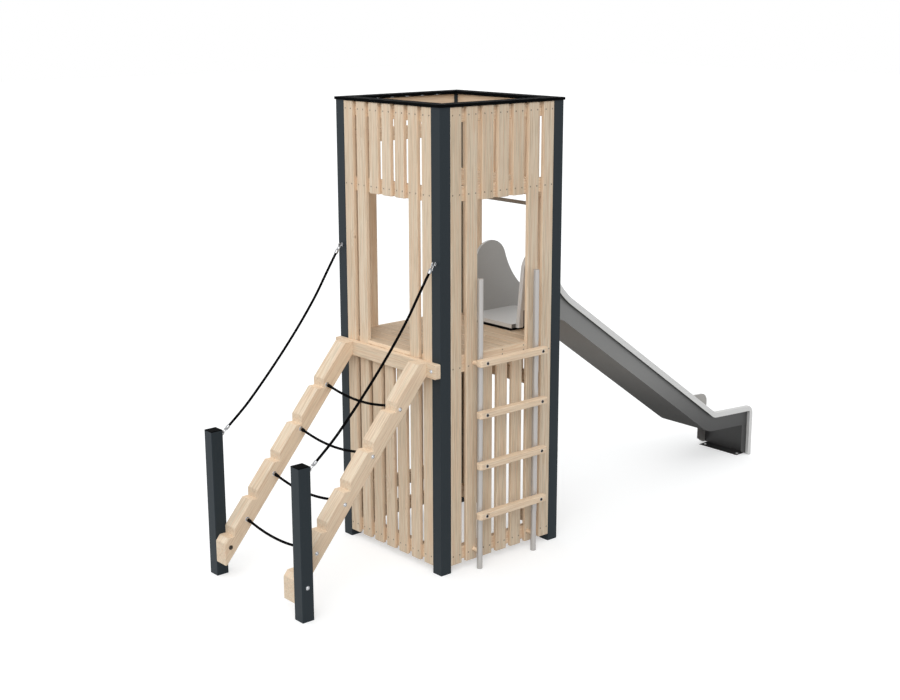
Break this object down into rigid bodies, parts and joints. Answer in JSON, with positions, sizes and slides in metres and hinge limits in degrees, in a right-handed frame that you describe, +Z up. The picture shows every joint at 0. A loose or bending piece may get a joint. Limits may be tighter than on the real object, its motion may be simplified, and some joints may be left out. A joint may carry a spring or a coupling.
{
  "type": "play tower",
  "caption": "Timber-boarded play tower on square steel posts with a ladder, a rope climbing ramp with rope handrails and a steel chute",
  "frame": {"origin": "The middle of the foot of the post between the ladder and the ramp, on the ground", "axes": "+X from the ramp across the tower to the chute, +Y from the ladder to the plain back side, +Z up"},
  "size_m": [4.9269, 1.255, 3.197],
  "materials": {
    "coated_post": "fine textured anthracite powder coat, satin",
    "timber": "planed softwood, dry, clear of paint, grain along each board",
    "dark_plate": "near black through-coloured sheet, matt",
    "pole_steel": "stainless tube, ground lengthwise to a satin finish",
    "chute_steel": "stainless sheet, brushed along the chute",
    "fitting_steel": "turned stainless steel, satin",
    "rope": "laid polyester rope, near black, dull",
    "pad_rubber": "moulded rubber, matt",
    "bar_coat": "smooth coat, grey brown, satin"
  },
  "bodies": {
    "root": {"post_ladder_ramp": "coated_post", "post_ladder_chute": "coated_post", "post_back_ramp": "coated_post", "post_back_chute": "coated_post", "ramp_posts": "coated_post", "ladder_side_long_boards": "timber", "chute_side_long_boards": "timber", "back_side_long_boards": "timber", "ramp_side_long_boards": "timber", "ladder_side_short_boards": "timber", "chute_side_short_boards": "timber", "back_side_short_boards": "timber", "ramp_side_short_boards": "timber", "ladder_side_rails": "timber", "chute_side_rails": "timber", "back_side_rails": "timber", "ramp_side_rails": "timber", "window_sills": "timber", "floor_planks": "timber", "floor_joists": "timber", "ladder_wall_pegs": "timber", "ladder_rungs": "timber", "ramp_header": "timber", "stringer_ladder_side": "timber", "stringer_back_side": "timber", "top_ring": "dark_plate", "ramp_post_caps": "dark_plate", "ladder_poles": "pole_steel", "chute_bed": "chute_steel", "chute_side_ladder": "chute_steel", "chute_side_back": "chute_steel", "chute_apron": "chute_steel", "chute_foot_plate": "chute_steel", "eye_bolts": "fitting_steel", "shackles": "fitting_steel", "rope_end_fittings": "fitting_steel", "rope_rung_1": "rope", "rope_rung_2": "rope", "rope_rung_3": "rope", "rope_rung_4": "rope", "handrail_rope_ladder_side": "rope", "handrail_rope_back_side": "rope", "chute_pad": "pad_rubber", "grab_bar": "bar_coat"}
  },
  "joints": []
}
